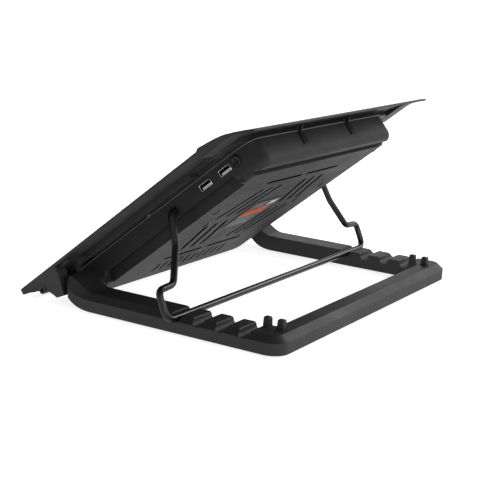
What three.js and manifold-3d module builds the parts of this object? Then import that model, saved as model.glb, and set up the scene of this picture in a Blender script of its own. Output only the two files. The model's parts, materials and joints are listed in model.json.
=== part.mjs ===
// Laptop cooling pad: a tilting deck with one large fan, a wire bail and a notched base frame.
// Millimetres, +Z up, X to the user's right, +Y away from the user. The origin lies on the desk
// below the middle of the whole stand, and the deck stands at its steepest setting.
import * as THREE from 'three';
import { mergeVertices } from 'three/addons/utils/BufferGeometryUtils.js';
import Module from 'manifold-3d';

const wasm = await Module();
wasm.setup();

// ---------------------------------------------------------------- driving dimensions
const width = 340;              // across deck and base frame
const half = width / 2;
const gap = 0.3;                // between touching pieces
const deg = Math.PI / 180;

const base = {
  rearY: 130.9, foot: 1.5, height: 15.2, sideHeight: 10, chamfer: 5.9,
  armWidth: 30.8, barDepth: 19.4, cornerRadius: 15, straightEnd: -178,
};
const notch = { width: 9.8, first: -99.4, pitch: 21.6, count: 4, floor: 9.1, round: 2.6 };
const peg = { x: 143, y: [-27.1, -14.1], foot: 6.6, tip: 5.8, height: 7.8 };
const wire = { radius: 3, rest: 12.4 };

const deck = {
  tilt: 39.81, originY: -214, originZ: 1.5,          // where the casing's lower front edge stands
  hingeV: 2.1, hingeW: 15.3, lugRadius: 7.4,
  top: 33.4, under: 26.4, skin: 2.5, noseRadius: 2.85, noseV: -33.2,
  windowX: 106, windowV: [26, 194], ledge: 5, plate: 1.2,
  cornerRadius: 9, frontRadius: 3,
};
const pivot = { v: 119.1, w: 15.8 };
const casing = {
  halfX: 126.5, v0: -8.4, v1: 216.6, top: 26.1, wall: 2.4, radius: 15, edge: 8.4,
  recessV: [20, 187], recessTop: 10.5, recessX: 118,
  groove: { v: [200.6, 206.6], w: 3, rib: 5.4, lift: 1.3 },
};
const fan = { v: 108, hub: 25, tip: 84, blades: 9, low: 9, high: 21 };
const usb = { v: [158.5, 181.6], w: 17.5, long: 13.1, tall: 5.7, depth: 13.6, wall: 0.45 };
const knob = { v: 195.1, w: 18.3, radius: 4.8, proud: 1.2 };
const stop = { v: -13.4, w: 21.1, barrel: 3.3, x: [118, 160], tongue: 27, boss: 3.5, pin: 1.5 };

// ---------------------------------------------------------------- materials
const finish = (color, roughness, metalness) => new THREE.MeshStandardMaterial({ color, roughness, metalness });
const plastic = (color, roughness = 0.62) => finish(color, roughness, 0);
const metal = (color, roughness = 0.3) => finish(color, roughness, 1);

// ---------------------------------------------------------------- geometry helpers
const frameX = new THREE.Matrix4().makeBasis(
  new THREE.Vector3(0, 1, 0), new THREE.Vector3(0, 0, 1), new THREE.Vector3(1, 0, 0));

function outline(points) {
  return new THREE.Shape(points.map(([a, b]) => new THREE.Vector2(a, b)));
}

// A side view in (y, z) pushed along X from x0 to x1.
function alongX(shape, x0, x1, curveSegments = 6) {
  const g = new THREE.ExtrudeGeometry(shape, { depth: x1 - x0, bevelEnabled: false, curveSegments });
  return g.applyMatrix4(frameX).translate(x0, 0, 0);
}

// A plan in (x, y) pushed up from z0 to z1.
function alongZ(shape, z0, z1, curveSegments = 6) {
  const g = new THREE.ExtrudeGeometry(shape, { depth: z1 - z0, bevelEnabled: false, curveSegments });
  return g.translate(0, 0, z0);
}

function box(x0, x1, y0, y1, z0, z1) {
  const g = new THREE.BoxGeometry(x1 - x0, y1 - y0, z1 - z0);
  return g.translate((x0 + x1) / 2, (y0 + y1) / 2, (z0 + z1) / 2);
}

// Closed solid through rings of equal point count, first to last, capped at both ends.
function loft(rings) {
  const n = rings[0].length;
  const position = rings.flat(2);
  const index = [];
  for (let k = 0; k + 1 < rings.length; k++) {
    for (let i = 0; i < n; i++) {
      const j = (i + 1) % n;
      const [a, b, c, d] = [k * n + i, k * n + j, (k + 1) * n + j, (k + 1) * n + i];
      index.push(a, b, c, a, c, d);
    }
  }
  const last = (rings.length - 1) * n;
  for (let i = 1; i + 1 < n; i++) {
    index.push(0, i + 1, i);
    index.push(last, last + i, last + i + 1);
  }
  const g = new THREE.BufferGeometry();
  g.setAttribute('position', new THREE.Float32BufferAttribute(position, 3));
  g.setIndex(index);
  return g;
}

// Closed solid through side views of equal point count, each [x, points of (y, z)], x rising.
function sections(list) {
  const n = list[0][1].length;
  const index = [];
  for (let k = 0; k + 1 < list.length; k++) {
    for (let i = 0; i < n; i++) {
      const j = (i + 1) % n;
      const [a, b, c, d] = [k * n + i, k * n + j, (k + 1) * n + j, (k + 1) * n + i];
      index.push(a, b, c, a, c, d);
    }
  }
  const flat = (k) => list[k][1].map((p) => new THREE.Vector2(...p));
  const cap = (k) => THREE.ShapeUtils.triangulateShape(flat(k), []);
  const last = list.length - 1;
  for (const [a, b, c] of cap(0)) index.push(c, b, a);
  for (const [a, b, c] of cap(last)) index.push(last * n + a, last * n + b, last * n + c);
  const g = new THREE.BufferGeometry();
  const position = list.flatMap(([x, points]) => points.flatMap(([y, z]) => [x, y, z]));
  g.setAttribute('position', new THREE.Float32BufferAttribute(position, 3));
  g.setIndex(index);
  return g;
}

// Points of a rectangle with round corners at height z, anticlockwise.
function roundedRing(x0, x1, y0, y1, r, z, perCorner = 5) {
  const ring = [];
  const corners = [[x1 - r, y0 + r, -90], [x1 - r, y1 - r, 0], [x0 + r, y1 - r, 90], [x0 + r, y0 + r, 180]];
  for (const [cx, cy, start] of corners) {
    for (let i = 0; i <= perCorner; i++) {
      const a = (start + 90 * i / perCorner) * deg;
      ring.push([cx + r * Math.cos(a), cy + r * Math.sin(a), z]);
    }
  }
  return ring;
}

function roundedPlan(x0, x1, y0, y1, r, perCorner = 5) {
  return outline(roundedRing(x0, x1, y0, y1, r, 0, perCorner));
}

function solid(geometry) {
  const g = geometry.clone();
  for (const name of Object.keys(g.attributes)) if (name !== 'position') g.deleteAttribute(name);
  const m = mergeVertices(g, 1e-4);
  return new wasm.Manifold(new wasm.Mesh({
    numProp: 3,
    vertProperties: new Float32Array(m.attributes.position.array),
    triVerts: new Uint32Array(m.index.array),
  }));
}

function join(geometries, cuts = []) {
  let body = solid(geometries[0]);
  for (const g of geometries.slice(1)) body = body.add(solid(g));
  for (const g of cuts) body = body.subtract(solid(g));
  return surface(body);
}

function common(a, b) {
  return surface(solid(a).intersect(solid(b)));
}

function surface(body) {
  const mesh = body.getMesh();
  const g = new THREE.BufferGeometry();
  g.setAttribute('position', new THREE.BufferAttribute(Float32Array.from(mesh.vertProperties), 3));
  g.setIndex(new THREE.BufferAttribute(Uint32Array.from(mesh.triVerts), 1));
  const flat = g.toNonIndexed();
  flat.computeVertexNormals();
  return flat;
}

// A capsule-shaped hole between two points of a plan, pushed through z0 to z1.
function slot(a, b, w, z0, z1) {
  const angle = Math.atan2(b[1] - a[1], b[0] - a[0]);
  const s = new THREE.Shape();
  s.absarc(b[0], b[1], w / 2, angle - Math.PI / 2, angle + Math.PI / 2, false);
  s.absarc(a[0], a[1], w / 2, angle + Math.PI / 2, angle + 1.5 * Math.PI, false);
  return alongZ(s, z0, z1, 4);
}

// Upright and crosswise cylinders and tubes.
function post(x, y, r, z0, z1, segments = 20) {
  const g = new THREE.CylinderGeometry(r, r, z1 - z0, segments);
  return g.rotateX(Math.PI / 2).translate(x, y, (z0 + z1) / 2);
}

function pinX(y, z, r, x0, x1, segments = 20) {
  const g = new THREE.CylinderGeometry(r, r, x1 - x0, segments);
  return g.rotateZ(-Math.PI / 2).translate((x0 + x1) / 2, y, z);
}

function mesh(name, geometry, material) {
  const m = new THREE.Mesh(geometry, material);
  m.name = name;
  return m;
}

function mirrored(geometry) {
  const g = geometry.index ? geometry.toNonIndexed() : geometry.clone();
  g.scale(-1, 1, 1);
  const p = g.attributes.position.array;
  for (let i = 0; i < p.length; i += 9) {
    for (let k = 0; k < 3; k++) [p[i + 3 + k], p[i + 6 + k]] = [p[i + 6 + k], p[i + 3 + k]];
  }
  g.computeVertexNormals();
  return g;
}

// ---------------------------------------------------------------- places in the side view
const tilt = deck.tilt * deg;

// World (y, z) of the deck point v along the deck and w above the casing's bottom, at rest.
function atDeck(v, w) {
  return [
    base.rearY + deck.originY + v * Math.cos(tilt) - w * Math.sin(tilt),
    base.foot + deck.originZ + v * Math.sin(tilt) + w * Math.cos(tilt),
  ];
}
const hinge = atDeck(deck.hingeV, deck.hingeW);
const bailPivot = atDeck(pivot.v, pivot.w);
const seat = [base.rearY + notch.first, base.foot + wire.rest];
const bailLength = Math.hypot(seat[0] - bailPivot[0], seat[1] - bailPivot[1]);
const fromRear = (y, z) => [base.rearY + y, base.foot + z];

// ---------------------------------------------------------------- base frame
const armInner = half - base.armWidth;
const lugX = [146, 157.6];

// Side view of the arm's front end, curled up like a ski tip. The deep one holds for the arm's body,
// the shallow one for its outer face, below the chamfer.
function armView(deep) {
  const top = deep ? base.height : base.sideHeight;
  const tip = deep ? [-212.5, 26] : [-209.1, 15.6];
  const lift = deep ? 24.5 : 12.2;
  const at = ([y, z]) => new THREE.Vector2(...fromRear(y, z));
  const upper = new THREE.CubicBezierCurve(at([-187, top]), at([-195, top]), at([-203, lift]), at(tip));
  const front = deep
    ? [atDeck(10.6, 17), atDeck(9.4, 13.2), atDeck(7.2, 4.2)]
    : [[-209.1, 14], [-209.1, 12], [-209.1, 10]].map((p) => fromRear(...p));
  const lower = new THREE.QuadraticBezierCurve(at([-209.1, 8.4]), at([-201, 0]), at([-184.9, 0]));
  return [
    fromRear(-158, 0), fromRear(-158, top),
    ...upper.getPoints(9).map((p) => [p.x, p.y]), ...front,
    ...lower.getPoints(7).map((p) => [p.x, p.y]),
  ];
}

function armFront() {
  return sections([
    [armInner, armView(true)], [half - base.chamfer, armView(true)], [half, armView(false)],
  ]);
}

function lugBridge() {
  const r = deck.lugRadius;
  return outline([
    atDeck(deck.hingeV, deck.hingeW - r), atDeck(8.5, 5), atDeck(12, 8), atDeck(13.5, 17.6),
    atDeck(deck.hingeV + 1.4, deck.hingeW + r * 0.98),
  ]);
}

// The frame's body: straight sides, then a chamfer round the outside of the top face.
function frameBlock() {
  const [z0, z1, z2] = [0, base.sideHeight, base.height].map((z) => z + base.foot);
  const ring = (inset, z) => roundedRing(
    -half + inset, half - inset, base.rearY + base.straightEnd, base.rearY - inset,
    base.cornerRadius - inset, z, 10);
  return loft([ring(0, z0), ring(0, z1), ring(base.chamfer, z2)]);
}

// A notch with a round floor, and a rounded top edge on the tooth in front of it.
function uNotch(y, x0, x1) {
  const r = notch.width / 2;
  const [cy, cz] = fromRear(y, notch.floor + r);
  const top = base.foot + base.height;
  const s = new THREE.Shape();
  s.moveTo(cy + r, top + 10);
  s.lineTo(cy - r - notch.round, top + 10);
  s.lineTo(cy - r - notch.round, top);
  s.quadraticCurveTo(cy - r, top, cy - r, top - notch.round);
  s.absarc(cy, cz, r, Math.PI, 2 * Math.PI, false);
  return alongX(s, x0, x1, 8);
}

function pegs(side) {
  return peg.y.map((y) => {
    const [z0, z1] = [base.foot + base.height - 1, base.foot + base.height + peg.height];
    const ring = (size, z) => roundedRing(
      side * peg.x - size / 2, side * peg.x + size / 2,
      base.rearY + y - size / 2, base.rearY + y + size / 2, 0.9, z, 2);
    return loft([ring(peg.foot, z0), ring(peg.tip, z1 - 0.6), ring(peg.tip - 1.2, z1)]);
  });
}

function baseFrame() {
  const front = armFront();
  const lug = [
    pinX(...hinge, deck.lugRadius, ...lugX, 28),
    alongX(lugBridge(), ...lugX),
  ];
  const inner = alongZ(roundedPlan(
    -armInner, armInner, base.rearY - 300, base.rearY - base.barDepth, 4), -5, 60);
  const parts = [frameBlock(), front, mirrored(front), ...lug, ...lug.map(mirrored), ...pegs(1), ...pegs(-1)];
  const cuts = [inner];
  for (const side of [-1, 1]) {
    const x = [armInner - 2, half + 2].map((v) => v * side).sort((a, b) => a - b);
    for (let k = 0; k < notch.count; k++) cuts.push(uNotch(notch.first + k * notch.pitch, ...x));
    const bore = [lugX[0] - 20, lugX[1] + 40].map((v) => v * side).sort((a, b) => a - b);
    cuts.push(pinX(...hinge, 2.6, ...bore, 24));
    for (const [fx, fy] of feet()) {
      cuts.push(post(fx, fy, 5.5 + gap, base.foot - 5, base.foot + 1.2, 28));
    }
  }
  return mesh('base_frame', join(parts, cuts), plastic(0x1b1b1c));
}

function feet() {
  const x = half - base.armWidth / 2 + 1;
  return [-1, 1].flatMap((s) => [-14, -165].map((y) => [s * x, base.rearY + y]));
}

// ---------------------------------------------------------------- wire bail
// Corners of the bent wire, in its own plane: X across, s up from the crossbar to the pivot.
function bailCorners() {
  const right = [
    [119.5, bailLength, 0], [132.4, bailLength, 6], [139.2, 56, 22], [157.6, 26.4, 9],
    [179.8, 25.2, 7], [180.2, 0, 10],
  ];
  const left = right.map(([x, s, r]) => [-x, s, r]).reverse();
  return [...right, ...left];
}

function bailPath() {
  const up = new THREE.Vector3(0, bailPivot[0] - seat[0], bailPivot[1] - seat[1]).normalize();
  const corners = bailCorners();
  const at = ([x, s]) => new THREE.Vector3(x, seat[0] + s * up.y, seat[1] + s * up.z);
  const path = new THREE.CurvePath();
  let from = at(corners[0]);
  for (let i = 1; i + 1 < corners.length; i++) {
    const [before, here, after] = [at(corners[i - 1]), at(corners[i]), at(corners[i + 1])];
    const r = corners[i][2];
    const inDir = here.clone().sub(before).normalize();
    const outDir = after.clone().sub(here).normalize();
    const cut = r * Math.tan(inDir.angleTo(outDir) / 2);
    const a = here.clone().addScaledVector(inDir, -cut);
    const b = here.clone().addScaledVector(outDir, cut);
    path.add(new THREE.LineCurve3(from, a));
    path.add(new THREE.QuadraticBezierCurve3(a, here, b));
    from = b;
  }
  path.add(new THREE.LineCurve3(from, at(corners[corners.length - 1])));
  return path;
}

// A round wire swept along the path, ring by ring, with each ring square to the path.
function bailWire() {
  const path = bailPath();
  const sides = 12;
  const samples = [];
  for (const curve of path.curves) {
    const steps = curve.isQuadraticBezierCurve3 ? 6 : 1;
    for (let i = samples.length ? 1 : 0; i <= steps; i++) {
      samples.push([curve.getPoint(i / steps), curve.getTangent(i / steps)]);
    }
  }
  const across = new THREE.Vector3(0, bailPivot[1] - seat[1], seat[0] - bailPivot[0]).normalize();
  const rings = samples.map(([p, t]) => {
    const side = new THREE.Vector3().crossVectors(across, t).normalize();
    return Array.from({ length: sides }, (_, i) => {
      const a = 2 * Math.PI * i / sides;
      const q = p.clone()
        .addScaledVector(side, wire.radius * Math.cos(a))
        .addScaledVector(across, wire.radius * Math.sin(a));
      return [q.x, q.y, q.z];
    });
  });
  return surface(solid(loft(rings)));
}

// ---------------------------------------------------------------- deck (coordinates: x, v, w)
const plane = (points) => points.map((p) => new THREE.Vector2(...p));

// The deck's upper surface from the edge of the rear lip forward: the lip droops behind a crease,
// and a low sloping step runs across the deck before it.
function drawRearTop(s) {
  s.lineTo(246.7, 20.2);
  s.splineThru(plane([[242.4, 22.6], [237.8, 24.9], [230, 28.1], [222.4, 30.9]]));
  s.splineThru(plane([[215.5, 32.4], [209, 33.5], [197.6, 35]]));
  s.lineTo(195.6, 34.9);
  s.lineTo(193.5, deck.top);
}

// Side view of the deck's skin: thick at the nose, a thin plate behind it, and a thin curved lip.
function skinProfile() {
  const low = deck.top - deck.skin;
  const r = deck.noseRadius;
  const s = new THREE.Shape();
  s.moveTo(-9.5, deck.under);
  s.lineTo(-9.5, low);
  s.lineTo(199, low);
  s.splineThru(plane([[207, 31.3], [214, 30.4], [221, 28.9], [230, 26], [238, 22.7], [245.2, 19.1]]));
  drawRearTop(s);
  s.lineTo(deck.noseV, deck.top);
  s.absarc(deck.noseV, deck.top - r, r, 90 * deg, 250 * deg, false);
  s.lineTo(-26.5, deck.under);
  return s;
}

// Side view of the solid rear corners, which close the lip's ends.
function cornerProfile() {
  const s = new THREE.Shape();
  s.moveTo(194, deck.top);
  s.lineTo(194, deck.under);
  s.lineTo(219, deck.under);
  s.splineThru(plane([[227, 26.1], [232.5, 24.6], [238, 22.4], [245.2, 19.1]]));
  drawRearTop(s);
  return s;
}

// Thicker middle of the deck, on which the casing is screwed; it widens towards the rear.
function block() {
  const s = new THREE.Shape();
  s.moveTo(-142.3, 23);
  s.lineTo(142.3, 23);
  s.lineTo(142.3, 172);
  s.splineThru(plane([[143.6, 178], [147.8, 184], [149, 190]]));
  s.lineTo(149, 200);
  s.quadraticCurveTo(149, 212, 137, 212);
  s.lineTo(-137, 212);
  s.quadraticCurveTo(-149, 212, -149, 200);
  s.lineTo(-149, 190);
  s.splineThru(plane([[-147.8, 184], [-143.6, 178], [-142.3, 172]]));
  return alongZ(s, deck.under, deck.top - deck.skin + 0.4, 4);
}

function hingeCheek(x0, x1) {
  const root = deck.top - deck.skin + 0.4;
  return alongX(outline([
    [-9.7, root], [-9.7, 27.4], [-8, 18.6], [-2.4, 7.6], [5.8, 5.3], [8, 13.3], [11.9, 23.7], [11.9, root],
  ]), x0, x1);
}

function stopCuts(side) {
  const [x0, x1] = [stop.x[0] - 0.6, stop.x[1] + 0.6];
  const through = box(x0, x1, stop.v - 14.5, stop.v + 5, 15, 40);
  const pocket = box(x0, x1, stop.v + 4, stop.v + stop.tongue + 1.2, deck.top - 4, 40);
  return [through, pocket].map((g) => (side < 0 ? mirrored(g) : g));
}

// An ear under the nose that carries one end of a laptop stop's pin, with a round boss at its foot.
function stopEar(x0, x1) {
  const s = new THREE.Shape();
  s.moveTo(-8.6, 31.2);
  s.lineTo(-30.4, 31.2);
  s.lineTo(-30.4, 27.6);
  s.lineTo(-23.4, 24.3);
  s.absarc(stop.v, stop.w, stop.boss, 165 * deg, 360 * deg, false);
  s.lineTo(stop.v + stop.boss, 24);
  s.lineTo(-8.6, 25.3);
  return alongX(s, x0, x1, 10);
}

function deckPlan() {
  const [front, rear] = [deck.frontRadius, deck.cornerRadius];
  const [v0, v1] = [-36.1, 246.8];
  const s = new THREE.Shape();
  s.absarc(half - front, v0 + front, front, -90 * deg, 0, false);
  s.absarc(half - rear, v1 - rear, rear, 0, 90 * deg, false);
  s.absarc(-half + rear, v1 - rear, rear, 90 * deg, 180 * deg, false);
  s.absarc(-half + front, v0 + front, front, 180 * deg, 270 * deg, false);
  return s;
}

function topFrame() {
  const full = alongZ(deckPlan(), 0, 60, 6);
  const skin = common(alongX(skinProfile(), -half, half, 5), full);
  const corner = common(alongX(cornerProfile(), half - 20, half, 5), full);
  const front = box(-165, 165, -10, 24, deck.top - 5.4, deck.top - deck.skin + 0.4);
  const sided = [
    corner, hingeCheek(lugX[1] + 0.6, half), hingeCheek(armInner + 0.6, lugX[0] - 0.6),
    stopEar(stop.x[0] - 4, stop.x[0] - 1), stopEar(stop.x[1] + 1, half - 0.6),
  ];
  const cuts = [
    box(-deck.windowX, deck.windowX, ...deck.windowV, 0, 60),
    box(-deck.windowX - deck.ledge, deck.windowX + deck.ledge,
      deck.windowV[0] - deck.ledge, deck.windowV[1] + deck.ledge, deck.top - deck.plate - gap, 60),
    plugScoop(), ...stopCuts(1), ...stopCuts(-1),
  ];
  for (const side of [-1, 1]) {
    const bore = [lugX[0] - 4, lugX[1] + 8].map((v) => v * side).sort((a, b) => a - b);
    cuts.push(pinX(deck.hingeV, deck.hingeW, 2.5 + 0.3, ...bore, 24));
    const pin = [stop.x[0] - 5, half + 1].map((v) => v * side).sort((a, b) => a - b);
    cuts.push(pinX(stop.v, stop.w, stop.pin + gap, ...pin, 16));
    for (const v of [40, 180]) cuts.push(...gripSeat(side, v));
  }
  const all = [skin, block(), front, ...sided, ...sided.map(mirrored)];
  return mesh('top_frame', join(all, cuts), plastic(0x1c1c1d));
}

// Finger room for the plugs: the block is hollowed a little over the two sockets.
function plugScoop() {
  return alongZ(roundedPlan(127, 151, 159, 187, 3, 4), 20, deck.under + 3.1);
}

// Rubber strips let into the deck beside the grille.
const strip = { x: 138, width: 10, long: 52, sink: 1.2, proud: 1.2 };
function gripSeat(side, v) {
  const [x, w, l] = [side * strip.x, strip.width / 2 + gap, strip.long / 2 + gap];
  return [alongZ(roundedPlan(x - w, x + w, v - l, v + l, w - 0.1, 4), deck.top - strip.sink, 60)];
}

function gripStrip(name, side, v) {
  const [x, w, l] = [side * strip.x, strip.width / 2, strip.long / 2];
  const g = alongZ(roundedPlan(x - w, x + w, v - l, v + l, w - 0.1, 4),
    deck.top - strip.sink + gap, deck.top + strip.proud);
  return mesh(name, g, plastic(0x111112, 0.9));
}

function grille() {
  const [x, v0, v1] = [deck.windowX + deck.ledge - gap, deck.windowV[0] - deck.ledge + gap,
    deck.windowV[1] + deck.ledge - gap];
  const plan = roundedPlan(-x, x, v0, v1, 3, 2);
  const [columns, rows, margin] = [9, 10, 11];
  const [stepX, stepV] = [(2 * x - 2 * margin) / columns, (v1 - v0 - 2 * margin) / rows];
  for (let i = 0; i < columns; i++) {
    for (let j = 0; j < rows; j++) {
      const [cx, cv] = [-x + margin + (i + 0.5) * stepX, v0 + margin + (j + 0.5) * stepV];
      const [a, b] = [stepX * 0.43, stepV * 0.4];
      const corners = [[-a, 0], [-a * 0.72, -b], [a * 0.72, -b], [a, 0], [a * 0.72, b], [-a * 0.72, b]];
      const hole = new THREE.Path(corners.map(([p, q]) => new THREE.Vector2(cx + p, cv + q)));
      plan.holes.push(hole);
    }
  }
  return mesh('deck_grille', alongZ(plan, deck.top - deck.plate, deck.top), metal(0x2a2a2b, 0.5));
}

// Sections of the casing, drawn in from its sides by d, at height w.
function casingRings(inset, low, high, edge) {
  const steps = [90, 66, 44, 22, 0];
  const ring = (d, w) => roundedRing(
    -casing.halfX + inset + d, casing.halfX - inset - d,
    casing.v0 + inset + d, casing.v1 - inset - d, Math.max(2, casing.radius - inset - d), w, 6);
  const rings = steps.map((a) => ring(edge * (1 - Math.cos(a * deg)), low + edge * (1 - Math.sin(a * deg))));
  return [...rings, ring(0, high)];
}

function ventSlots() {
  const through = [-1, casing.wall + 1];
  const cuts = [];
  for (const side of [-1, 1]) {
    for (const v of [42.2, 175.5]) cuts.push(slot([side * 6, v], [side * 64, v], 4.2, ...through));
    for (let k = 0; k < 3; k++) {
      const [near, far] = [38 + 16.5 * k, 22.6 + 16.5 * k];
      cuts.push(slot([side * near, 118.5], [side * far, 160.5], 5.2, ...through));
      cuts.push(slot([side * near, 102], [side * far, 58], 5.2, ...through));
    }
  }
  for (let k = 0; k < 10; k++) {
    const x = (k - 4.5) * 12.5;
    cuts.push(slot([x + 2.6, 30], [x - 2.6, 14.5], 3.2, ...through));
  }
  return cuts;
}

const screwPlaces = [[95, 134], [-95, 134], [80, 108.6], [-80, 108.6]];
const boardPosts = [[104, 154], [104, 199]];

function bottomCasing() {
  const { halfX, wall, top } = casing;
  const outer = loft(casingRings(0, 0, top, casing.edge));
  const inner = loft(casingRings(wall, wall, top + 5, casing.edge - 1.4));
  const { v: [g0, g1], w: grooveTop, rib, lift } = casing.groove;
  const cuts = [
    ...ventSlots(), box(-halfX - 1, halfX + 1, g0, g1, -1, grooveTop),
    box(-halfX - 1, halfX + 1, g0, casing.v1 + 1, -1, lift),
  ];
  for (const side of [-1, 1]) {
    const x = [casing.recessX, halfX + 5].map((v) => v * side).sort((a, b) => a - b);
    const [a, b] = casing.recessV;
    const s = new THREE.Shape();
    s.moveTo(a, -5);
    s.lineTo(b, -5);
    s.lineTo(b, casing.recessTop - 5.5);
    s.absarc(b - 5.5, casing.recessTop - 5.5, 5.5, 0, Math.PI / 2, false);
    s.absarc(a + 5.5, casing.recessTop - 5.5, 5.5, Math.PI / 2, Math.PI, false);
    cuts.push(alongX(s, ...x, 5));
    const bore = [halfX - 12, halfX + 5].map((v) => v * side).sort((a2, b2) => a2 - b2);
    cuts.push(pinX(pivot.v, pivot.w, wire.radius + 0.35, ...bore, 28));
    const pocket = [halfX - 12, halfX - wall].map((v) => v * side).sort((a2, b2) => a2 - b2);
    cuts.push(pinX(pivot.v, pivot.w, 5, ...pocket, 28));
  }
  for (const v of usb.v) {
    const [a, b] = [usb.long / 2 + 0.4, usb.tall / 2 + 0.4];
    cuts.push(box(halfX - 6, halfX + 2, v - a, v + a, usb.w - b, usb.w + b));
  }
  cuts.push(pinX(knob.v, knob.w, knob.radius + 0.5, halfX - 6, halfX + 2, 28));
  const shell = solid(outer).subtract(solid(inner));
  const walls = sideLinings();
  const backing = solid(outer).intersect(solid(box(-halfX, halfX, g0 - 2.4, g1 + 2.4, 1, rib)));
  let body = shell.add(backing);
  for (const g of walls) body = body.add(solid(g));
  for (const [x, v] of screwPlaces) body = body.add(solid(post(x, v, 5, wall - 0.5, 7, 20)));
  for (const [x, v] of boardPosts) body = body.add(solid(post(x, v, 3.2, wall - 0.5, 12.3, 16)));
  for (const g of cuts) body = body.subtract(solid(g));
  for (const [x, v] of screwPlaces) {
    body = body.subtract(solid(post(x, v, 1.9, -1, 5.6, 16))).subtract(solid(post(x, v, 3.7, -1, 2.6, 24)));
  }
  return mesh('bottom_casing', surface(body), plastic(0x191919));
}

// Inner walls behind the side recesses, so that the casing stays closed there.
function sideLinings() {
  const [a, b] = [casing.recessV[0] - 3, casing.recessV[1] + 3];
  const [x0, x1] = [casing.recessX - casing.wall, casing.halfX - 1];
  const roof = casing.recessTop + 1.8;
  const s = outline([[a, 0.8], [b, 0.8], [b, roof], [a, roof]]);
  const g = alongX(s, x0, x1);
  return [g, mirrored(g)];
}

function casingScrew(name, x, v) {
  const head = post(x, v, 3.2, 0.6, 2.3, 20);
  const shank = post(x, v, 1.5, 2, 5.2, 12);
  const bar = (a, b) => box(x - a, x + a, v - b, v + b, 0, 1.4);
  const cross = [bar(1.8, 0.4), bar(0.4, 1.8)];
  return mesh(name, join([head, shank], cross), metal(0x3a3a3c, 0.45));
}

function usbShell(name, v) {
  const [a, b, t] = [usb.long / 2, usb.tall / 2, usb.wall];
  const x1 = casing.halfX + 0.2;
  const x0 = x1 - usb.depth;
  const tube = box(x0, x1, v - a, v + a, usb.w - b, usb.w + b);
  const mouth = box(x0 + t, x1 + 2, v - a + t, v + a - t, usb.w - b + t, usb.w + b - t);
  return mesh(name, join([tube], [mouth]), metal(0xb9bbbd, 0.28));
}

function usbTongue(name, v) {
  const x0 = casing.halfX + 0.2 - usb.depth + usb.wall + gap;
  const floor = usb.w - usb.tall / 2 + usb.wall;
  const g = join([
    box(x0, x0 + 2, v - usb.long / 2 + 0.9, v + usb.long / 2 - 0.9, floor + gap, usb.w + usb.tall / 2 - 0.8),
    box(x0, x0 + 11, v - usb.long / 2 + 1.2, v + usb.long / 2 - 1.2, floor + 0.5, floor + 2.3),
  ]);
  return mesh(name, g, plastic(0x6f7274, 0.5));
}

function circuitBoard() {
  const plan = roundedPlan(98, 121.6, 149, 204, 1.5, 2);
  const chip = box(101, 108, 168, 175, 14.2, 16);
  const header = box(99.5, 103.5, 184, 192, 14.2, 19);
  return mesh('circuit_board', join([alongZ(plan, 12.6, 14.25), chip, header]), plastic(0x1f4a33, 0.5));
}

function speedPot() {
  const body = box(110, 119.5, knob.v - 4.6, knob.v + 4.6, 14.6, knob.w + 4.4);
  const shaft = pinX(knob.v, knob.w, 1.7, 119, 126.5, 16);
  return mesh('speed_dial_pot', join([body, shaft]), metal(0x8d8f92, 0.4));
}

function speedKnob() {
  const x1 = casing.halfX + knob.proud;
  const x0 = casing.halfX - 4.5;
  const body = pinX(knob.v, knob.w, knob.radius, x0, x1 - 0.7, 28);
  const face = pinX(knob.v, knob.w, knob.radius - 0.7, x1 - 1.4, x1, 28);
  const bore = pinX(knob.v, knob.w, 2.0, x0 - 1, 127, 16);
  const pointer = box(x1 - 0.6, x1 + 1, knob.v - 0.5, knob.v + 0.5, knob.w + 0.8, knob.w + knob.radius);
  return mesh('speed_knob', join([body, face], [bore, pointer]), plastic(0x232324, 0.5));
}

// A flat rib on the casing's rear wall, ending above in a hook that reaches up behind the deck's block.
function rearCatch(name, x) {
  const y0 = casing.v1 + gap;
  const pad = outline([[y0, 11.6], [y0 + 0.8, 12.2], [y0 + 0.8, 22.4], [y0, 23]]);
  const hook = outline([
    [y0, 20], [y0 + 0.8, 20.4], [y0 + 1.1, 23.4], [y0 + 5.6, 26.9], [y0 + 4.4, 28.2], [y0, 25.4],
  ]);
  return mesh(name, join([alongX(pad, x - 4.2, x + 4.2), alongX(hook, x - 1.6, x + 1.6)]), plastic(0x202021));
}

function bush(name, side) {
  const [x0, x1] = [casing.halfX - casing.wall - gap - 4.4, casing.halfX - casing.wall - gap];
  const tube = (r, end) => pinX(pivot.v, pivot.w, r, x0 - end, x1 + end, 28);
  const ring = join([tube(4.7, 0)], [tube(3.4, 1)]);
  return mesh(name, side < 0 ? mirrored(ring) : ring, plastic(0x101011, 0.7));
}

function ratingLabel() {
  const film = alongZ(roundedPlan(-24, 24, 84, 132, 2, 3), -0.55, -0.25);
  return mesh('rating_label', film, plastic(0x9a9a98, 0.45));
}

// ---------------------------------------------------------------- fan
function fanMotor() {
  const profile = [[2.3, 3], [24, 3], [24, 5.4], [12, 6.6], [12, 17.5], [2.3, 17.5]];
  const g = lathe(profile, 28).translate(0, fan.v, 0);
  return mesh('fan_motor', g, plastic(0x151516, 0.5));
}

// A closed profile in (radius, height) turned about the upright axis.
function lathe(profile, segments) {
  const points = [...profile, profile[0]].map(([r, h]) => new THREE.Vector2(r, h));
  const g = new THREE.LatheGeometry(points, segments).rotateX(Math.PI / 2);
  return surface(solid(g));
}

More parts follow.
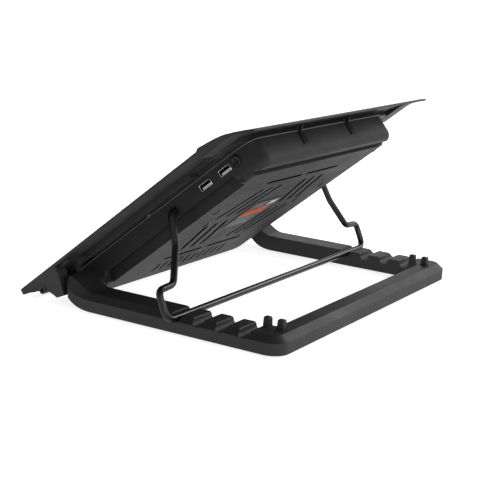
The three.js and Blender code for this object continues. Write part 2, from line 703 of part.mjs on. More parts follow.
function fanBlade(angle) {
  const radii = [fan.hub - 1, 42, 62, fan.tip];
  const rings = radii.map((r, i) => {
    const chord = 15 + 5.5 * i;
    const pitch = (40 - 5 * i) * deg;
    const sweep = 0.1 * i;
    const mid = (fan.low + fan.high) / 2;
    return [[-0.5, -0.7], [0.5, -0.7], [0.5, 0.7], [-0.5, 0.7]].map(([c, t]) => {
      const along = c * chord * Math.cos(pitch) - t * Math.sin(pitch);
      const up = Math.max(-6, Math.min(6, c * chord * Math.sin(pitch) + t * Math.cos(pitch)));
      const a = sweep + along / r;
      return [r * Math.cos(a), r * Math.sin(a), mid + up];
    });
  });
  return loft(rings).rotateZ(angle);
}

function fanRotor() {
  const cup = [[14.2, 8.4], [fan.hub, 8.4], [fan.hub, 21], [fan.hub - 3, 23], [0.001, 23],
    [0.001, 4.4], [2.0, 4.4], [2.0, 18.4], [14.2, 18.4]];
  let body = solid(lathe(cup, 32));
  for (let k = 0; k < fan.blades; k++) body = body.add(solid(fanBlade(2 * Math.PI * k / fan.blades)));
  return mesh('fan_rotor', surface(body).translate(0, fan.v, 0), plastic(0x141415, 0.45));
}

// ---------------------------------------------------------------- laptop stops
function laptopStop(name, side) {
  const [x0, x1] = stop.x;
  const [v, w] = [stop.v, stop.w];
  const top = deck.top - 0.2;
  const web = outline([
    [v - 2.2, w], [v + 2.2, w], [v + 2.2, top - 3], [v + stop.tongue, top - 3],
    [v + stop.tongue, top - 0.8], [v + stop.tongue - 0.8, top], [v - 1.4, top], [v - 2.2, top - 0.8],
  ]);
  const bore = pinX(v, w, stop.pin + gap, x0 - 1, x1 + 1, 16);
  const g = join([pinX(v, w, stop.barrel, x0, x1, 24), alongX(web, x0, x1)], [bore]);
  return mesh(name, side < 0 ? mirrored(g) : g, plastic(0x1e1e1f));
}

function stopPin(name, side) {
  const g = pinX(stop.v, stop.w, stop.pin, stop.x[0] - 4, half - 4, 16);
  return mesh(name, side < 0 ? mirrored(g) : g, metal(0x8b8d90, 0.35));
}

// ---------------------------------------------------------------- assembly
const pad = new THREE.Group();
pad.name = 'deck_group';
pad.position.set(0, hinge[0], hinge[1]);
pad.rotation.x = tilt;
const board = new THREE.Group();
board.name = 'deck_parts';
board.position.set(0, -deck.hingeV, -deck.hingeW);
pad.add(board);

board.add(topFrame(), grille(), bottomCasing(), fanMotor(), fanRotor(), ratingLabel(), circuitBoard());
screwPlaces.forEach(([x, v], i) => board.add(casingScrew(`casing_screw_${i + 1}`, x, v)));
usb.v.forEach((v, i) => board.add(usbShell(`usb_shell_${i + 1}`, v), usbTongue(`usb_tongue_${i + 1}`, v)));
board.add(speedPot(), speedKnob());
board.add(rearCatch('rear_catch_left', -44.8), rearCatch('rear_catch_right', 44.8));
board.add(bush('bail_bush_left', -1), bush('bail_bush_right', 1));
board.add(laptopStop('laptop_stop_left', -1), laptopStop('laptop_stop_right', 1));
board.add(stopPin('stop_pin_left', -1), stopPin('stop_pin_right', 1));
[['left', -1], ['right', 1]].forEach(([name, side]) => {
  board.add(gripStrip(`grip_strip_front_${name}`, side, 40), gripStrip(`grip_strip_rear_${name}`, side, 180));
});

const stand = new THREE.Group();
stand.name = 'base_group';
stand.add(baseFrame());
feet().forEach(([x, y], i) => {
  stand.add(mesh(`base_foot_${i + 1}`, post(x, y, 5.5, 0, base.foot + 0.9, 28), plastic(0x0e0e0f, 0.9)));
});
[['left', -1], ['right', 1]].forEach(([name, side]) => {
  const [a, b] = [lugX[0] - 3.6, lugX[1] + 7.6].map((v) => v * side).sort((p, q) => p - q);
  stand.add(mesh(`hinge_pin_${name}`, pinX(...hinge, 2.5, a, b, 24), metal(0x77797c, 0.35)));
});

const group = new THREE.Group();
group.name = 'laptop_cooling_pad';
group.add(stand, pad, mesh('bail_wire', bailWire(), metal(0x161617, 0.4)));
export default group;
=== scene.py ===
import json
import math

import bpy
import bmesh
from mathutils import Matrix, Vector


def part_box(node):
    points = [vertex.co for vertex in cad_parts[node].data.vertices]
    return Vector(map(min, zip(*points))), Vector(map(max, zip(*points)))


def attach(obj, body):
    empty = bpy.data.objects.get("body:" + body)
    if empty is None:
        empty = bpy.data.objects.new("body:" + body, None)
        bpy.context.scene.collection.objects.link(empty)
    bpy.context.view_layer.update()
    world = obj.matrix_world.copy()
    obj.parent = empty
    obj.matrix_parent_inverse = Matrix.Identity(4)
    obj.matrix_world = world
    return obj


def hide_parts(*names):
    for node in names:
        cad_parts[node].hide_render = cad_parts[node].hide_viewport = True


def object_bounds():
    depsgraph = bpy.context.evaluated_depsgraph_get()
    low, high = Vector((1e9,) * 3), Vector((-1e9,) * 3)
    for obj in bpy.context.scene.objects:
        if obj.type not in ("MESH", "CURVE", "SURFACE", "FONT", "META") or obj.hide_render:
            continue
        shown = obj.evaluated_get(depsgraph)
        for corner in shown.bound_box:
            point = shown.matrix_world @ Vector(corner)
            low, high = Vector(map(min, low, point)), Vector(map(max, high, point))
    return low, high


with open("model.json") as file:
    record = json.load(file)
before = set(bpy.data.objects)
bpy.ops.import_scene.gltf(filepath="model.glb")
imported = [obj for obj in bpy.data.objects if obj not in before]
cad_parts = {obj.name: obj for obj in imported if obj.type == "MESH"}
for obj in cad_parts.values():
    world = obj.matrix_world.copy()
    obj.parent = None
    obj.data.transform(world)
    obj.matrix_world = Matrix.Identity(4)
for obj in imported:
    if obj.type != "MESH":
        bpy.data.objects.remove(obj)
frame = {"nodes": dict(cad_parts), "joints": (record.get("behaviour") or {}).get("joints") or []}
cad_low, cad_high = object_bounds()
nodes = frame["nodes"]
joints = {joint["name"]: joint for joint in frame["joints"]}
MM = 0.001
TAU = 2 * math.pi


# ---------------------------------------------------------------- places
# The deck's own directions: x across, v along it towards the rear, w out of its top, all in mm.
UP = Vector(joints["fan_spin"]["axis"]).normalized()
ALONG = Vector((0, UP.z, -UP.y))
FAN_V, FAN_W = 108.0, 15.0
CORNER = Vector(joints["fan_spin"]["pos_m"]) - (ALONG * FAN_V + UP * FAN_W) * MM


def pad(x, v, w):
    return CORNER + (Vector((x, 0, 0)) + ALONG * v + UP * w) * MM


def pad_of(point):
    """(x, v, w) in mm of a world point."""
    d = (point - CORNER) / MM
    return d.x, d.dot(ALONG), d.dot(UP)


# ---------------------------------------------------------------- node materials
class Graph:
    """A small helper round one material's node tree."""

    def __init__(self, name):
        self.material = bpy.data.materials.new(name)
        self.material.use_nodes = True
        self.tree = self.material.node_tree
        self.shader = self.tree.nodes["Principled BSDF"]
        self.place = self.node("ShaderNodeTexCoord").outputs["Object"]

    def node(self, kind, **values):
        made = self.tree.nodes.new(kind)
        for key, value in values.items():
            if key in made.inputs:
                made.inputs[key].default_value = value
            else:
                setattr(made, key, value)
        return made

    def link(self, a, b):
        self.tree.links.new(a, b)

    def noise(self, scale, detail=4.0, rough=0.55, stretch=None):
        made = self.node("ShaderNodeTexNoise", Scale=scale, Detail=detail, Roughness=rough)
        source = self.place
        if stretch:
            mapping = self.node("ShaderNodeMapping")
            mapping.inputs["Scale"].default_value = stretch
            self.link(source, mapping.inputs["Vector"])
            source = mapping.outputs["Vector"]
        self.link(source, made.inputs["Vector"])
        return made.outputs["Fac"]

    def spread(self, fac, low, high, start=0.3, stop=0.7):
        made = self.node("ShaderNodeMapRange")
        made.inputs["From Min"].default_value = start
        made.inputs["From Max"].default_value = stop
        made.inputs["To Min"].default_value = low
        made.inputs["To Max"].default_value = high
        self.link(fac, made.inputs["Value"])
        return made.outputs["Result"]

    def tones(self, fac, dark, light, start=0.3, stop=0.7):
        made = self.node("ShaderNodeMix", data_type="RGBA")
        made.inputs["A"].default_value = (*dark, 1)
        made.inputs["B"].default_value = (*light, 1)
        self.link(self.spread(fac, 0, 1, start, stop), made.inputs["Factor"])
        return made.outputs["Result"]

    def bump(self, heights):
        """heights: (socket, strength, distance in metres), finest last."""
        normal = None
        for height, strength, distance in heights:
            made = self.node("ShaderNodeBump", Strength=strength, Distance=distance)
            self.link(height, made.inputs["Height"])
            if normal:
                self.link(normal, made.inputs["Normal"])
            normal = made.outputs["Normal"]
        self.link(normal, self.shader.inputs["Normal"])


def grey(v, warm=0.0):
    return (v * (1 + warm), v, v * (1 - warm))


def moulded(name, dark, light, rough=(0.40, 0.54), grain=1500.0, depth=0.00006, specular=0.4):
    """Injection-moulded plastic: spark-eroded grain, faint flow marks, handling marks in the gloss."""
    g = Graph(name)
    flow = g.noise(9.0, 5.0, 0.6)
    fine = g.noise(grain, 2.0, 0.6)
    specks = g.noise(420.0, 3.0, 0.7)
    smear = g.noise(22.0, 6.0, 0.65, (1.0, 2.2, 1.4))
    g.link(g.tones(flow, dark, light), g.shader.inputs["Base Color"])
    g.link(g.spread(smear, *rough), g.shader.inputs["Roughness"])
    g.shader.inputs["Specular IOR Level"].default_value = specular
    g.bump([(specks, 0.25, depth * 0.6), (fine, 0.55, depth)])
    return g.material


def plated(name, dark, light, rough):
    """Bare or plated metal with fine drawing marks."""
    g = Graph(name)
    lines = g.noise(900.0, 3.0, 0.7, (1.0, 1.0, 12.0))
    cloud = g.noise(60.0, 4.0, 0.6)
    g.link(g.tones(cloud, dark, light), g.shader.inputs["Base Color"])
    g.link(g.spread(lines, *rough), g.shader.inputs["Roughness"])
    g.shader.inputs["Metallic"].default_value = 1.0
    g.bump([(lines, 0.2, 0.00001)])
    return g.material


def powder_coat(name, dark, light, rough, specular=0.5, coat=(0.25, 0.2)):
    """Thin black paint on metal: a little orange peel in the surface and in the gloss."""
    g = Graph(name)
    peel = g.noise(700.0, 2.0, 0.5)
    cloud = g.noise(30.0, 4.0, 0.6)
    g.link(g.tones(cloud, dark, light), g.shader.inputs["Base Color"])
    g.link(g.spread(peel, *rough), g.shader.inputs["Roughness"])
    g.shader.inputs["Specular IOR Level"].default_value = specular
    g.shader.inputs["Coat Weight"].default_value, g.shader.inputs["Coat Roughness"].default_value = coat
    g.bump([(peel, 0.3, 0.00003)])
    return g.material


def laminate(name):
    """Circuit board: solder mask with the copper pattern showing through as lighter lines."""
    g = Graph(name)
    tracks = g.node("ShaderNodeTexBrick", Scale=160.0)
    g.link(g.place, tracks.inputs["Vector"])
    g.link(g.tones(tracks.outputs["Fac"], (0.008, 0.06, 0.03), (0.03, 0.16, 0.08), 0, 1),
           g.shader.inputs["Base Color"])
    g.link(g.spread(g.noise(200.0), 0.25, 0.45), g.shader.inputs["Roughness"])
    g.bump([(tracks.outputs["Fac"], 0.3, 0.00003)])
    return g.material


LOOK = {
    "frame": moulded("frame_plastic", grey(0.011), grey(0.016), rough=(0.50, 0.62), specular=0.3),
    "deck": moulded("deck_plastic", grey(0.011), grey(0.016), rough=(0.50, 0.62), specular=0.3),
    "casing": moulded("casing_plastic", grey(0.010), grey(0.015), rough=(0.55, 0.68), specular=0.22),
    # light grey, about five times the casing: painted highlight along the casing's top edge and on the snap
    # tab
    "bead": moulded("painted_highlight_plastic", grey(0.05), grey(0.07), rough=(0.30, 0.42), specular=0.5),
    # black plastic, taken darker than the casing and nearly without gloss: painted shade for the inside of
    # the casing
    "fan": moulded("fan_plastic", grey(0.002), grey(0.004), rough=(0.55, 0.68), specular=0.06),
    # near-black with almost no gloss: painted shade on the vent slot walls
    "vent_shade": moulded("vent_wall_painted_shade", grey(0.002), grey(0.004), rough=(0.70, 0.80), specular=0.04),
    # darker than the casing: painted shade under the deck's rear lip
    "catch": moulded("catch_painted_shade", grey(0.005), grey(0.008), rough=(0.60, 0.72), specular=0.12),
    "knob": moulded("knob_plastic", grey(0.006), grey(0.010), rough=(0.35, 0.5), specular=0.3),
    "tongue": moulded("port_plastic", grey(0.50), grey(0.62), rough=(0.4, 0.55)),
    "rubber": moulded("rubber", grey(0.008), grey(0.013), rough=(0.75, 0.9), grain=2200, specular=0.2),
    "wire": powder_coat("wire_paint", grey(0.003), grey(0.005), (0.34, 0.46), 0.12, (0.35, 0.12)),
    "grille": powder_coat("grille_paint", grey(0.010), grey(0.016), (0.35, 0.5)),
    "screw": powder_coat("screw_zinc", grey(0.02), grey(0.035), (0.3, 0.45)),
    "steel": plated("pin_steel", grey(0.36), grey(0.50), (0.22, 0.38)),
    "port": plated("port_nickel", grey(0.66, 0.01), grey(0.80, 0.01), (0.14, 0.26)),
    # near-black nickel for the inside of the sockets: painted shade in the recess
    "port_inside": plated("port_inside", grey(0.02), grey(0.04), (0.4, 0.5)),
    "gold": plated("contact_gold", (0.30, 0.20, 0.08), (0.42, 0.29, 0.12), (0.3, 0.4)),
    "board": laminate("board_mask"),
    "film": moulded("label_film", grey(0.012), grey(0.018), rough=(0.52, 0.64),
                    depth=0.00002, specular=0.24),
    "orange": moulded("label_orange", (0.20, 0.012, 0.004), (0.50, 0.055, 0.016), rough=(0.5, 0.6),
                      depth=0.00001, specular=0.25),
    "ink_white": moulded("label_white", grey(0.62), grey(0.70), rough=(0.24, 0.36), depth=0.00001),
    "ink_grey": moulded("label_grey", grey(0.06), grey(0.08), rough=(0.3, 0.42), depth=0.00001),
    "ink_black": moulded("label_black", grey(0.006), grey(0.01), rough=(0.24, 0.36), depth=0.00001),
}


# ---------------------------------------------------------------- mesh helpers
def piece(name, faces, body, looks, replaced=(), smooth=True):
    """An object from a list of (points, look number) faces; points that meet are merged."""
    bm = bmesh.new()
    seen = {}

    def vertex(p):
        key = tuple(round(c * 1e7) for c in p)
        if key not in seen:
            seen[key] = bm.verts.new(p)
        return seen[key]

    for points, look in faces:
        corners = list(dict.fromkeys(vertex(p) for p in points))
        if len(corners) < 3 or bm.faces.get(corners):
            continue
        face = bm.faces.new(corners)
        face.material_index = look
        face.smooth = smooth
    bmesh.ops.recalc_face_normals(bm, faces=bm.faces)
    data = bpy.data.meshes.new(name)
    bm.to_mesh(data)
    bm.free()
    for look in looks:
        data.materials.append(LOOK[look])
    made = bpy.data.objects.new(name, data)
    bpy.context.scene.collection.objects.link(made)
    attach(made, body)
    if replaced:
        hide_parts(*replaced)
    return made


def rings(loops, look=0, caps=True):
    """Faces between closed loops of equal point count, one after the other, and over both ends."""
    faces = []
    for a, b in zip(loops, loops[1:]):
        n = len(a)
        for i in range(n):
            j = (i + 1) % n
            faces.append(([a[i], a[j], b[j], b[i]], look))
    if caps:
        faces += [(list(loops[0]), look), (list(loops[-1]), look)]
    return faces


def rounded_loop(x0, x1, v0, v1, r, steps=6):
    """(a, b) points of a rectangle with round corners."""
    out = []
    corners = ((x1 - r, v0 + r, -90), (x1 - r, v1 - r, 0), (x0 + r, v1 - r, 90), (x0 + r, v0 + r, 180))
    for cx, cv, start in corners:
        for i in range(steps + 1):
            a = math.radians(start + 90 * i / steps)
            out.append((cx + r * math.cos(a), cv + r * math.sin(a)))
    return out


def edge_round(made, width, segments=2, angle=32.0):
    """Weld, rejoin the flat faces, and round the sharp edges by width mm."""
    data = made.data
    if "custom_normal" in data.attributes:
        data.attributes.remove(data.attributes["custom_normal"])
    data.shade_smooth()
    weld = made.modifiers.new("weld", "WELD")
    weld.merge_threshold = 0.000002
    flat = made.modifiers.new("flat", "DECIMATE")
    flat.decimate_type = "DISSOLVE"
    flat.angle_limit = math.radians(0.6)
    bevel = made.modifiers.new("edges", "BEVEL")
    bevel.width = width * MM
    bevel.segments = segments
    bevel.limit_method = "ANGLE"
    bevel.angle_limit = math.radians(angle)
    bevel.use_clamp_overlap = True
    bevel.miter_outer = "MITER_ARC"
    weighted = made.modifiers.new("normals", "WEIGHTED_NORMAL")
    weighted.keep_sharp = True
    weighted.weight = 60


# ---------------------------------------------------------------- wire prop
WIRE = 3.0                             # radius
SEAT = Vector((0, 31.5, 13.9)) * MM    # middle of the crossbar in its notch
WIRE_END, BEND = 119.5, 132.4          # x of the pivot end and of the first bend
BEND_STEPS, WIRE_SIDES = 14, 24
PIVOT = Vector(joints["bail_swing"]["pos_m"])
WIRE_UP = (PIVOT - SEAT).normalized()
WIRE_ACROSS = Vector((1, 0, 0)).cross(WIRE_UP)


def wire_path():
    """The wire's centre line: straight stretches joined by bends, all in the wire's own plane."""
    length = (PIVOT - SEAT).length / MM
    right = [(WIRE_END, length, 0), (BEND, length, 6), (139.2, 56, 22), (157.6, 26.4, 9),
             (179.8, 25.2, 7), (180.2, 0, 10)]
    corners = right + [(-x, s, r) for x, s, r in reversed(right)]
    at = [Vector((x * MM, 0, 0)) + SEAT + WIRE_UP * s * MM for x, s, _ in corners]
    path = [at[0]]
    for i in range(1, len(at) - 1):
        before, after = (at[i] - at[i - 1]).normalized(), (at[i + 1] - at[i]).normalized()
        cut = corners[i][2] * MM * math.tan(before.angle(after) / 2)
        start, stop = at[i] - before * cut, at[i] + after * cut
        for k in range(BEND_STEPS + 1):
            t = k / BEND_STEPS
            path.append(start * (1 - t) ** 2 + at[i] * 2 * t * (1 - t) + stop * t * t)
    path.append(at[-1])
    return path


def domed(loop, centre, out):
    """The smaller loop that rounds a cut end, and the end's own loop drawn back to make room for it."""
    push = out.normalized() * 0.3 * MM
    return [centre + (q - centre) * 0.75 + push for q in loop], [q - push for q in loop]


def bail_wire():
    """The wire prop: a round bar along its path, with slightly domed ends."""
    path = wire_path()
    loops = []
    last = len(path) - 1
    for i, p in enumerate(path):
        direction = (path[min(i + 1, last)] - path[max(i - 1, 0)]).normalized()
        side = WIRE_ACROSS.cross(direction).normalized()
        loops.append([p + (side * math.cos(a) + WIRE_ACROSS * math.sin(a)) * WIRE * MM
                      for a in (TAU * k / WIRE_SIDES for k in range(WIRE_SIDES))])
    first_dome, loops[0] = domed(loops[0], path[0], path[0] - path[1])
    last_dome, loops[-1] = domed(loops[-1], path[-1], path[-1] - path[-2])
    loops = [first_dome, *loops, last_dome]
    piece("bail_wire_smooth", rings(loops), "bail", ["wire"], ["bail_wire"])


# ---------------------------------------------------------------- grille
GRILLE = {"x": 110.7, "v0": 21.3, "v1": 198.7, "top": 33.4, "lip": 4.4, "pitch": 6.4, "bar": 1.15,
          "deep": 1.1, "thick": 0.42, "wall": 0.6, "sheet": 0.5}


def grille_loop(inset, radius, w):
    g = GRILLE
    plan = rounded_loop(-g["x"] + inset, g["x"] - inset, g["v0"] + inset, g["v1"] - inset, radius)
    return [pad(a, b, w) for a, b in plan]


def grille_rim():
    """A folded rim: down on the outside, flat on top, open below."""
    top, low, under = GRILLE["top"], GRILLE["top"] - GRILLE["deep"], GRILLE["top"] - GRILLE["thick"]
    lip, wall = GRILLE["lip"], GRILLE["wall"]
    steps = [(0, 3, low), (0, 3, top - 0.25), (0, 3, top), (lip, 2, top), (lip, 2, under),
             (wall, 2.4, under), (wall, 2.4, low)]
    loops = [grille_loop(*step) for step in steps]
    faces = rings(loops + [loops[0]], caps=False)
    rim = piece("grille_rim", faces, "deck", ["grille"], ["deck_grille"], smooth=False)
    rim.modifiers.new("edges", "BEVEL").width = 0.12 * MM


def grille_mesh():
    """The perforated sheet: one flat ring round each hexagonal hole, given its thickness."""
    x, v0, v1, pitch = GRILLE["x"], GRILLE["v0"], GRILLE["v1"], GRILLE["pitch"]
    reach = pitch / math.sqrt(3)
    row = 1.5 * reach
    columns, rows = int(2 * (x - 3.2) / pitch), int((v1 - v0 - 6.4) / row)
    low_x, low_v = -pitch * (columns - 0.5) / 2, (v0 + v1) / 2 - row * (rows - 1) / 2
    radii = (reach, reach - GRILLE["bar"] / 2 / math.cos(math.pi / 6))
    sheet = []
    for j in range(rows):
        for i in range(columns - (j % 2)):
            cx, cv = low_x + pitch * (i + 0.5 * (j % 2)), low_v + row * j
            hexes = [[pad(cx + r * math.cos(a), cv + r * math.sin(a), GRILLE["top"] - 1.0)
                      for a in (TAU * (k + 0.5) / 6 for k in range(6))] for r in radii]
            sheet += rings(hexes, caps=False)
    mesh = piece("grille_mesh", sheet, "deck", ["grille"], smooth=False)
    solid = mesh.modifiers.new("thickness", "SOLIDIFY")
    solid.thickness = GRILLE["sheet"] * MM
    solid.offset = 0


# ---------------------------------------------------------------- fan
FAN = {"hub": 25.0, "tip": 83.6, "blades": 9, "half": 6.2}


def turned(profile, steps=64):
    """Loops of a (radius, w) profile turned about the fan's axis."""
    return [[pad(r * math.cos(a), FAN_V + r * math.sin(a), w)
             for a in (TAU * k / steps for k in range(steps))] for r, w in profile]


def blade_section(r, chord, pitch, turn, across=8):
    """One closed loop round the blade at radius r: thick in the middle, thin at both edges."""
    loop = []
    for k in range(2 * across):
        along = k / across if k <= across else 2 - k / across
        side = 1 if k <= across else -1
        bulge = math.sin(math.pi * along)
        lift = side * (0.25 + 0.75 * bulge) * 0.8 + 1.6 * bulge
        c = (along - 0.5) * chord
        flat = c * math.cos(pitch) - lift * math.sin(pitch)
        rise = 0.8 * (c * math.sin(pitch) + lift * math.cos(pitch))
        a = turn + flat / r
        w = FAN_W + max(-FAN["half"], min(FAN["half"], rise))
        loop.append(pad(r * math.cos(a), FAN_V + r * math.sin(a), w))
    return loop


def blade(turn):
    """One blade, twisted and swept along its length, with its root just inside the hub."""
    root, sections = FAN["hub"] - 1, 12
    loops = []
    for i in range(sections + 1):
        t = i / sections
        chord, pitch, sweep = 15 + 16 * math.sin(t * 1.45), math.radians(40 - 15 * t), 0.3 * t
        loops.append(blade_section(root + (FAN["tip"] - root) * t, chord, pitch, turn + sweep))
    return rings(loops)


def fan_rotor():
    """A cup-shaped hub, hollow from below with a middle shaft, and its blades."""
    hub = FAN["hub"]
    profile = [(14.2, 8.4), (hub - 0.6, 8.4), (hub, 9.0), (hub, 20.4), (hub - 0.9, 22.0), (hub - 3, 22.8),
               (12, 23.0), (0.01, 23.0)]
    inside = [(14.2, 8.4), (14.2, 18.4), (2.0, 18.4), (2.0, 4.4), (0.01, 4.4)]
    faces = rings(turned(profile), caps=False) + rings(turned(inside), caps=False)
    for k in range(FAN["blades"]):
        faces += blade(TAU * k / FAN["blades"])
    piece("fan_rotor_moulded", faces, "fan", ["fan"], ["fan_rotor"])


# ---------------------------------------------------------------- sockets and dial
SOCKET = {"long": 13.1, "tall": 5.7, "wall": 0.45, "w": 17.5, "x1": 126.7, "x0": 113.1}
KNOB = {"v": 195.1, "w": 18.3, "radius": 4.8, "x0": 122.0, "x1": 127.7}


def side_loop(x, v, w, a, b, r):
    return [pad(x, v + p, w + q) for p, q in rounded_loop(-a, a, -b, b, r, 4)]


def socket(number):
    """One USB-A shell, bright outside and dark inside, with two springs and the tongue's contacts; the dark
    inside and the springs are painted shade on the same nickel.
    """
    low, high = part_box(f"usb_shell_{number}")
    middle = pad_of((low + high) / 2)[1]
    a, b, t, w = SOCKET["long"] / 2, SOCKET["tall"] / 2, SOCKET["wall"], SOCKET["w"]
    x0, x1 = SOCKET["x0"], SOCKET["x1"]
    outside = [(x0, 0, 1.0), (x1 - 0.2, 0, 1.0), (x1, 0.15, 0.9), (x1, 0.3, 0.8), (x1 - 0.5, t, 0.6)]
    inside = [(x1 - 0.5, t, 0.6), (x0 + t, t, 0.6)]
    skins = [[side_loop(x, middle, w, a - d, b - d, r) for x, d, r in shape] for shape in (outside, inside)]
    faces = rings(skins[0], caps=False) + rings(skins[1], look=1, caps=False)
    faces += [(skins[0][0], 0), (skins[1][-1], 1)]
    for v in (-3, 3):
        tab = [side_loop(x, middle + v, w + b - t - drop, 0.9, 0.15, 0.1)
               for x, drop in ((x1 - 7.5, 0.2), (x1 - 4, 0.9), (x1 - 2.6, 0.25))]
        faces += rings(tab, look=1)
    piece(f"usb_socket_{number}", faces, "deck", ["port", "port_inside"],
          [f"usb_shell_{number}"])
    above_tongue = w - b + t + 2.42
    contacts = []
    for k in range(4):
        v = middle + (k - 1.5) * 2.4
        strip = [side_loop(x, v, above_tongue, 0.4, 0.1, 0.08) for x in (x0 + 3, x0 + 9.4)]
        contacts += rings(strip)
    piece(f"usb_contacts_{number}", contacts, "deck", ["gold"])


def knurled(x, r, depth, teeth=30, per_tooth=4):
    """A loop round the dial's axis with one shallow wave per tooth."""
    points = []
    for k in range(teeth * per_tooth):
        a = TAU * k / (teeth * per_tooth)
        rr = r - depth * (0.5 - 0.5 * math.cos(TAU * k / per_tooth))
        points.append(pad(x, KNOB["v"] + rr * math.cos(a), KNOB["w"] + rr * math.sin(a)))
    return points


def knob():
    """The dial: a knurled rim, a dished end and a raised ridge across it."""
    x0, x1, r, w = KNOB["x0"], KNOB["x1"], KNOB["radius"], KNOB["w"]
    shape = [(x0, 2.0, 0), (x0, r, 0.3), (x1 - 0.6, r, 0.3), (x1 - 0.15, r - 0.4, 0.2), (x1, r - 1.0, 0),
             (x1, r - 1.3, 0), (x1 - 0.35, r - 1.6, 0), (x1 - 0.35, 0.4, 0)]
    faces = rings([knurled(*row) for row in shape])
    ridge = rounded_loop(-0.45, 0.45, w - r + 1.5, w + r - 1.5, 0.3, 3)
    faces += rings([[pad(x, KNOB["v"] + p, q) for p, q in ridge] for x in (x1 - 0.4, x1 - 0.05)])
    piece("speed_knob_knurled", faces, "knob", ["knob"], ["speed_knob"])


# ---------------------------------------------------------------- label
LABEL = {"x": 24, "v0": 84, "v1": 132, "low": -0.55, "high": -0.25}
FILM, ORANGE, WHITE, BLACK, GREY = range(5)


def printed(x0, x1, v0, v1, ink, radius=0.5, over=0.0):
    """A patch of ink standing just proud of the label; over lifts it above another patch."""
    plan = rounded_loop(x0, x1, v0, v1, radius, 3)
    sheet = [[pad(a, b, LABEL["low"] + rise - over) for a, b in plan] for rise in (0.01, -0.02)]
    return rings(sheet, look=ink)


def label():
    """A dark film with plain patches of ink and no letters."""
    x, v0, v1, low = LABEL["x"], LABEL["v0"], LABEL["v1"], LABEL["low"]
    loops = [[pad(a, b, w) for a, b in rounded_loop(-x + d, x - d, v0 + d, v1 - d, 2, 5)]
             for w, d in ((LABEL["high"], 0), (low + 0.05, 0), (low, 0.08))]
    faces = rings(loops, look=FILM)
    faces += printed(-22, 22, 104, 117, ORANGE, 1.2)
    faces += printed(-22, -7, 119, 129, BLACK)
    for k in range(4):
        faces += printed(-20.8 + 3.4 * k, -18.8 + 3.4 * k, 120.4, 127.6, WHITE, 0.3, 0.04)
    for k in range(4):
        faces += printed(3 * (k % 2) - 2, 21, 120 + 2.6 * k, 121.1 + 2.6 * k, GREY, 0.2)
    for k in range(5):
        faces += printed(5 * (k % 3) - 18, 21, 87 + 3.1 * k, 88.1 + 3.1 * k, GREY, 0.2)
    inks = ["film", "orange", "ink_white", "ink_black", "ink_grey"]
    piece("rating_label_printed", faces, "deck", inks, ["rating_label"])


# ---------------------------------------------------------------- bead round the casing's upper edge, light grey as a painted highlight
BEAD = {"x": 126.5, "v0": -8.4, "v1": 216.6, "corner": 15, "w": 25.45, "r": 0.55}


def casing_bead(around=8):
    """A round bead, light grey as a painted highlight along the casing's top edge; its last loop repeats
    the first, which closes it.
    """
    x, v0, v1, r = BEAD["x"], BEAD["v0"], BEAD["v1"], BEAD["r"]
    loops = []
    for k in range(around + 1):
        a = TAU * k / around
        out, up = r * math.cos(a), r * math.sin(a)
        plan = rounded_loop(-x - out, x + out, v0 - out, v1 + out, BEAD["corner"] + out, 8)
        loops.append([pad(p, q, BEAD["w"] + up) for p, q in plan])
    piece("casing_bead", rings(loops, caps=False), "deck", ["bead"])


def snap_tab():
    """The small tab on the seam between casing and deck, ahead of the sockets, in the bead's light grey as
    a painted highlight.
    """
    shape = [(26.5, 0), (25.2, 0), (24.9, 0.3)]
    loops = [[pad(p, q, w) for p, q in rounded_loop(128.6 + d, 131.8 - d, 95.0 + d, 98.8 - d, 0.6, 3)]
             for w, d in shape]
    piece("snap_tab", rings(loops), "deck", ["bead"])


# ---------------------------------------------------------------- CAD pieces that keep their shape
ROUNDING = {"base_frame": 0.7, "top_frame": 0.45, "bottom_casing": 0.5, "laptop_stop_left": 0.5,
            "laptop_stop_right": 0.5, "rear_catch_left": 0.2, "rear_catch_right": 0.2}
LOOK_OF = {
    "rubber": ("base_foot", "grip_strip"),
    "steel": ("hinge_pin", "stop_pin", "speed_dial"),
    "catch": ("rear_catch",),
    "port": ("usb_shell",),
    "tongue": ("usb_tongue",),
    "screw": ("casing_screw",),
    "casing": ("bottom_casing", "bail_bush"),
    "fan": ("fan_rotor", "fan_motor"),
    "board": ("circuit_board",),
    "frame": ("base_frame",),
    "wire": ("bail_wire",),
    "grille": ("deck_grille",),
    "knob": ("speed_knob",),
    "film": ("rating_label",),
}
REPLACED = ("bail_wire", "deck_grille", "fan_rotor", "usb_shell_1", "usb_shell_2", "speed_knob",
            "rating_label")
VENTS = {"x": 75, "v0": 10, "v1": 185, "w": 2.6}       # the stretch of the casing's floor that has slots


def dress():
    """Looks and rounded edges for the CAD's own solids, by the start of their names."""
    for name, made in nodes.items():
        look = next((look for look, starts in LOOK_OF.items() if name.startswith(starts)), "deck")
        made.data.materials.clear()
        made.data.materials.append(LOOK[look])
        if name not in REPLACED:
            edge_round(made, ROUNDING.get(name, 0.2))
    paint_vent_shade(nodes["bottom_casing"])


def paint_vent_shade(made):
    """The walls of the vent slots get a near-black colour: painted shade that makes the slots look deep and
    black.
    """
    made.data.materials.append(LOOK["vent_shade"])
    turn = made.matrix_world.to_3x3()
    for face in made.data.polygons:
        x, v, w = pad_of(made.matrix_world @ face.center)
        upright = abs((turn @ face.normal).normalized().dot(UP)) < 0.3
        if upright and w < VENTS["w"] and abs(x) < VENTS["x"] and VENTS["v0"] < v < VENTS["v1"]:
            face.material_index = 1


# ---------------------------------------------------------------- stage, light and camera
FLOOR_HALF, FLOOR_DROP = 14, 0.0005    # half its side, and how far it lies below the stand, in metres
FLOOR_GLOW = 0.8


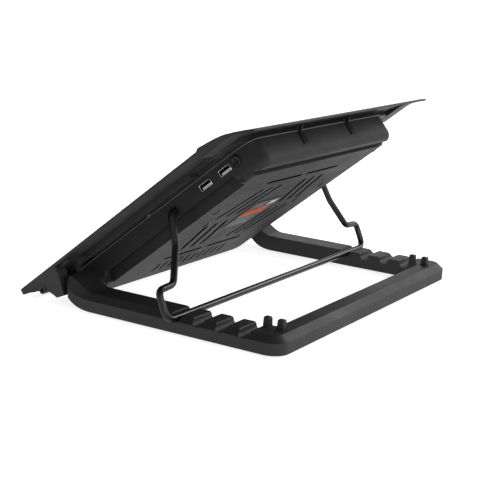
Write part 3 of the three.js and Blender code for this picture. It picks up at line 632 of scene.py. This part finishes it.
def floor():
    """A white sheet that glows a little, like a light table."""
    data = bpy.data.meshes.new("floor")
    bm = bmesh.new()
    bmesh.ops.create_grid(bm, x_segments=1, y_segments=1, size=FLOOR_HALF)
    bm.to_mesh(data)
    bm.free()
    made = bpy.data.objects.new("floor", data)
    bpy.context.scene.collection.objects.link(made)
    made.location.z = cad_low.z - FLOOR_DROP
    g = Graph("light_table")
    g.link(g.tones(g.noise(3.0), grey(0.84), grey(0.86)), g.shader.inputs["Base Color"])
    g.shader.inputs["Roughness"].default_value = 0.9
    g.shader.inputs["Specular IOR Level"].default_value = 0.1
    g.shader.inputs["Emission Color"].default_value = (1, 1, 1, 1)
    g.shader.inputs["Emission Strength"].default_value = FLOOR_GLOW
    made.data.materials.append(g.material)


def studio_world(horizon, zenith):
    """White round the horizon, falling to dark grey overhead, so that upward faces stay dark."""
    world = bpy.data.worlds.new("studio")
    world.use_nodes = True
    tree = world.node_tree
    place = tree.nodes.new("ShaderNodeTexCoord")
    split = tree.nodes.new("ShaderNodeSeparateXYZ")
    fade = tree.nodes.new("ShaderNodeMapRange")
    fade.inputs["From Min"].default_value = 0.12
    fade.inputs["From Max"].default_value = 0.75
    fade.inputs["To Min"].default_value = horizon
    fade.inputs["To Max"].default_value = zenith
    tree.links.new(place.outputs["Generated"], split.inputs["Vector"])
    tree.links.new(split.outputs["Z"], fade.inputs["Value"])
    tree.links.new(fade.outputs["Result"], tree.nodes["Background"].inputs["Strength"])
    tree.nodes["Background"].inputs["Color"].default_value = (1, 1, 1, 1)
    bpy.context.scene.world = world


def area_light(name, at, target, size, power):
    data = bpy.data.lights.new(name, "AREA")
    data.shape = "RECTANGLE"
    data.size, data.size_y = size
    data.energy = power
    made = bpy.data.objects.new(name, data)
    made.location = at
    made.rotation_euler = (Vector(target) - Vector(at)).to_track_quat("-Z", "Y").to_euler()
    bpy.context.scene.collection.objects.link(made)


CAMERA_AT = (1.00232, 0.57966, 0.31337)
CAMERA_TURN = (120.51, 13.055, 3.55)   # azimuth, elevation and roll in degrees
CAMERA_LENS, SENSOR = 95.70, 36        # mm


def camera():
    """The photograph's view."""
    azimuth, elevation, roll = (math.radians(a) for a in CAMERA_TURN)
    back = Vector((math.sin(azimuth) * math.cos(elevation),
                   -math.cos(azimuth) * math.cos(elevation), math.sin(elevation)))
    side = Vector((0, 0, 1)).cross(back).normalized()
    above = back.cross(side)
    right = side * math.cos(roll) + above * math.sin(roll)
    up = above * math.cos(roll) - side * math.sin(roll)
    data = bpy.data.cameras.new("camera")
    data.sensor_width = SENSOR
    data.lens = CAMERA_LENS
    data.clip_start, data.clip_end = 0.05, 20
    made = bpy.data.objects.new("camera", data)
    turn = Matrix((right, up, back)).transposed().to_4x4()
    made.matrix_world = Matrix.Translation(CAMERA_AT) @ turn
    bpy.context.scene.collection.objects.link(made)
    bpy.context.scene.camera = made


camera()
dress()
bail_wire()
grille_rim()
grille_mesh()
fan_rotor()
for number in (1, 2):
    socket(number)
knob()
label()
casing_bead()
snap_tab()
floor()
studio_world(1.0, 0.1)
area_light("key", (1.3, 1.2, 1.0), (0, 0, 0.08), (0.8, 0.8), 3)
area_light("back", (0.2, 1.7, 0.6), (0, 0, 0.05), (1.4, 0.6), 9)
area_light("left", (-1.6, 0.7, 1.0), (0, 0.1, 0), (0.9, 0.7), 13)
area_light("rim", (-0.9, -0.6, 0.9), (0, 0, 0.1), (0.8, 0.5), 5)
bpy.context.scene.view_settings.view_transform = "Standard"
